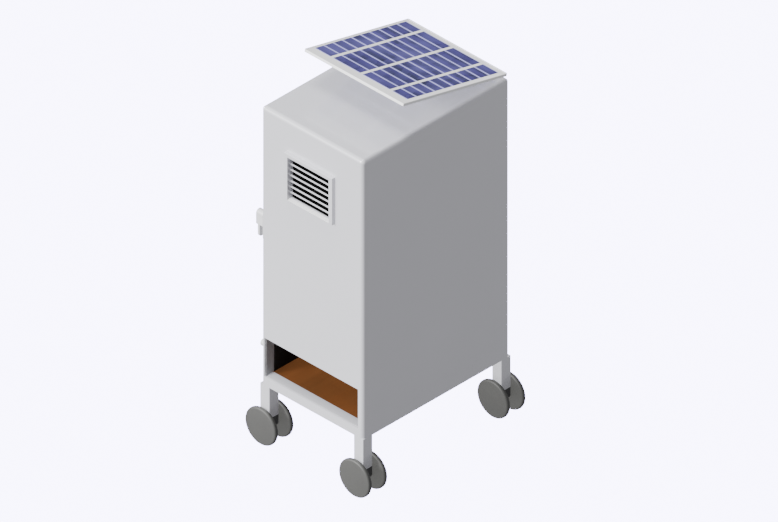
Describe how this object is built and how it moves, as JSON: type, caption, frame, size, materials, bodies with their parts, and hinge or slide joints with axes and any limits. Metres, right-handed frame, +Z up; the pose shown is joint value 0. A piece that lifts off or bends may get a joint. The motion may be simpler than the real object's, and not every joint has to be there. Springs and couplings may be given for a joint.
{
  "type": "wheeled solar cabinet",
  "caption": "Wheeled metal cabinet with a tilting solar panel, front louvre, open bottom bay and lockable side door, read as a parking pay station.",
  "frame": {"origin": "on the floor, midway between the eight wheels", "axes": "+Z up, +X across the width with the louvre face seen from -Y, +Y to the rear"},
  "size_m": [0.52, 0.6726, 1.3282],
  "materials": {
    "cabinet_paint": "satin light grey powder coat",
    "frame_paint": "satin mid grey paint",
    "board_brown": "brown phenolic-faced board",
    "liner_black": "matt black sheet",
    "wheel_grey": "matt grey cast nylon",
    "hub_dark": "matt dark grey",
    "bare_steel": "zinc plated steel",
    "lock_grey": "satin light grey die-cast",
    "lock_metal": "plated key barrel",
    "gasket_rubber": "black foam rubber",
    "filter_foam": "black open foam",
    "fan_black": "black moulded plastic",
    "battery_case": "dark grey moulded case",
    "strap_webbing": "black woven strap",
    "unit_blue": "blue painted casing",
    "unit_grey": "grey painted casing",
    "terminal_green": "moulded terminal blocks on a steel rail",
    "panel_white": "white coated aluminium",
    "solar_glass": "blue cells under low-iron glass",
    "rail_aluminium": "extruded aluminium"
  },
  "bodies": {
    "cabinet": {"base_tube_front": "cabinet_paint", "base_tube_left": "cabinet_paint", "base_tube_rear": "cabinet_paint", "base_tube_right": "cabinet_paint", "battery": "battery_case", "battery_strap": "strap_webbing", "bay_jambs": "frame_paint", "bay_liner": "liner_black", "body_hinge_leaves": "bare_steel", "cabinet_shell": "cabinet_paint", "cable_gland": "fan_black", "charge_controller": "unit_blue", "control_box": "unit_grey", "door_frame": "frame_paint", "door_hinge_pins": "bare_steel", "equipment_shelf": "frame_paint", "fan_housing": "fan_black", "filter_pad": "filter_foam", "floor_board": "board_brown", "hub_blocks": "hub_dark", "leg_front_left": "cabinet_paint", "leg_front_right": "cabinet_paint", "leg_rear_left": "cabinet_paint", "leg_rear_right": "cabinet_paint", "louvre_blades": "cabinet_paint", "louvre_frame": "cabinet_paint", "mounting_plate": "frame_paint", "panel_hinge_brackets": "bare_steel", "panel_hinge_pins": "bare_steel", "prop_brackets": "bare_steel", "rear_cover": "cabinet_paint", "rear_cover_screws": "bare_steel", "shelf_rails": "frame_paint", "terminal_blocks": "terminal_green", "wheel_axles": "bare_steel"},
    "door": {"side_door": "cabinet_paint", "door_gasket": "gasket_rubber", "door_hinge_leaves": "bare_steel", "latch_plate": "lock_grey"},
    "latch": {"latch_handle": "lock_grey", "latch_cam": "bare_steel"},
    "key": {"key_barrel": "lock_metal"},
    "small_lock": {"lower_lock": "lock_grey", "lower_lock_cam": "bare_steel"},
    "fan": {"fan_rotor": "fan_black"},
    "panel": {"panel_tray": "panel_white", "solar_laminate": "solar_glass", "panel_rails": "rail_aluminium", "panel_knuckles": "rail_aluminium", "junction_box": "fan_black"},
    "prop": {"prop_arms": "rail_aluminium", "prop_cross_rod": "rail_aluminium"},
    "wheel_front_left_outer": {"wheel_front_left_outer": "wheel_grey"},
    "wheel_front_left_inner": {"wheel_front_left_inner": "wheel_grey"},
    "wheel_front_right_outer": {"wheel_front_right_outer": "wheel_grey"},
    "wheel_front_right_inner": {"wheel_front_right_inner": "wheel_grey"},
    "wheel_rear_left_outer": {"wheel_rear_left_outer": "wheel_grey"},
    "wheel_rear_left_inner": {"wheel_rear_left_inner": "wheel_grey"},
    "wheel_rear_right_outer": {"wheel_rear_right_outer": "wheel_grey"},
    "wheel_rear_right_inner": {"wheel_rear_right_inner": "wheel_grey"}
  },
  "joints": [
    {"name": "door_swing", "type": "hinge", "parent": "cabinet", "child": "door", "pos_m": [-0.21, 0.2955, 0.7], "axis": [0, 0, -1], "range_deg": [0, 110]},
    {"name": "latch_turn", "type": "hinge", "parent": "door", "child": "latch", "pos_m": [-0.2045, -0.285, 0.792], "axis": [1, 0, 0], "range_deg": [0, 90]},
    {"name": "key_turn", "type": "hinge", "parent": "latch", "child": "key", "pos_m": [-0.2045, -0.285, 0.792], "axis": [1, 0, 0], "range_deg": [0, 90]},
    {"name": "small_lock_turn", "type": "hinge", "parent": "door", "child": "small_lock", "pos_m": [-0.2045, -0.285, 0.331], "axis": [1, 0, 0], "range_deg": [0, 90]},
    {"name": "fan_spin", "type": "hinge", "parent": "cabinet", "child": "fan", "pos_m": [-0.0035, -0.2745, 1.00365], "axis": [0, 1, 0], "continuous": true},
    {"name": "panel_tilt", "type": "hinge", "parent": "cabinet", "child": "panel", "pos_m": [0.0055, 0.293, 1.211], "axis": [-1, 0, 0], "range_deg": [-13.4, 16.6]},
    {"name": "prop_swing", "type": "hinge", "parent": "cabinet", "child": "prop", "pos_m": [0.0055, 0.143, 1.211], "axis": [-1, 0, 0], "range_deg": [-26.8, 33.2]},
    {"name": "wheel_front_left_outer_spin", "type": "hinge", "parent": "cabinet", "child": "wheel_front_left_outer", "pos_m": [-0.1955, -0.32675, 0.0645], "axis": [0, 1, 0], "continuous": true},
    {"name": "wheel_front_left_inner_spin", "type": "hinge", "parent": "cabinet", "child": "wheel_front_left_inner", "pos_m": [-0.1955, -0.25925, 0.0645], "axis": [0, 1, 0], "continuous": true},
    {"name": "wheel_front_right_outer_spin", "type": "hinge", "parent": "cabinet", "child": "wheel_front_right_outer", "pos_m": [0.1955, -0.32675, 0.0645], "axis": [0, 1, 0], "continuous": true},
    {"name": "wheel_front_right_inner_spin", "type": "hinge", "parent": "cabinet", "child": "wheel_front_right_inner", "pos_m": [0.1955, -0.25925, 0.0645], "axis": [0, 1, 0], "continuous": true},
    {"name": "wheel_rear_left_outer_spin", "type": "hinge", "parent": "cabinet", "child": "wheel_rear_left_outer", "pos_m": [-0.1955, 0.32675, 0.0645], "axis": [0, 1, 0], "continuous": true},
    {"name": "wheel_rear_left_inner_spin", "type": "hinge", "parent": "cabinet", "child": "wheel_rear_left_inner", "pos_m": [-0.1955, 0.25925, 0.0645], "axis": [0, 1, 0], "continuous": true},
    {"name": "wheel_rear_right_outer_spin", "type": "hinge", "parent": "cabinet", "child": "wheel_rear_right_outer", "pos_m": [0.1955, 0.32675, 0.0645], "axis": [0, 1, 0], "continuous": true},
    {"name": "wheel_rear_right_inner_spin", "type": "hinge", "parent": "cabinet", "child": "wheel_rear_right_inner", "pos_m": [0.1955, 0.25925, 0.0645], "axis": [0, 1, 0], "continuous": true}
  ],
  "couplings": [
    {"joint": "prop_swing", "follows": "panel_tilt", "ratio": 2}
  ]
}
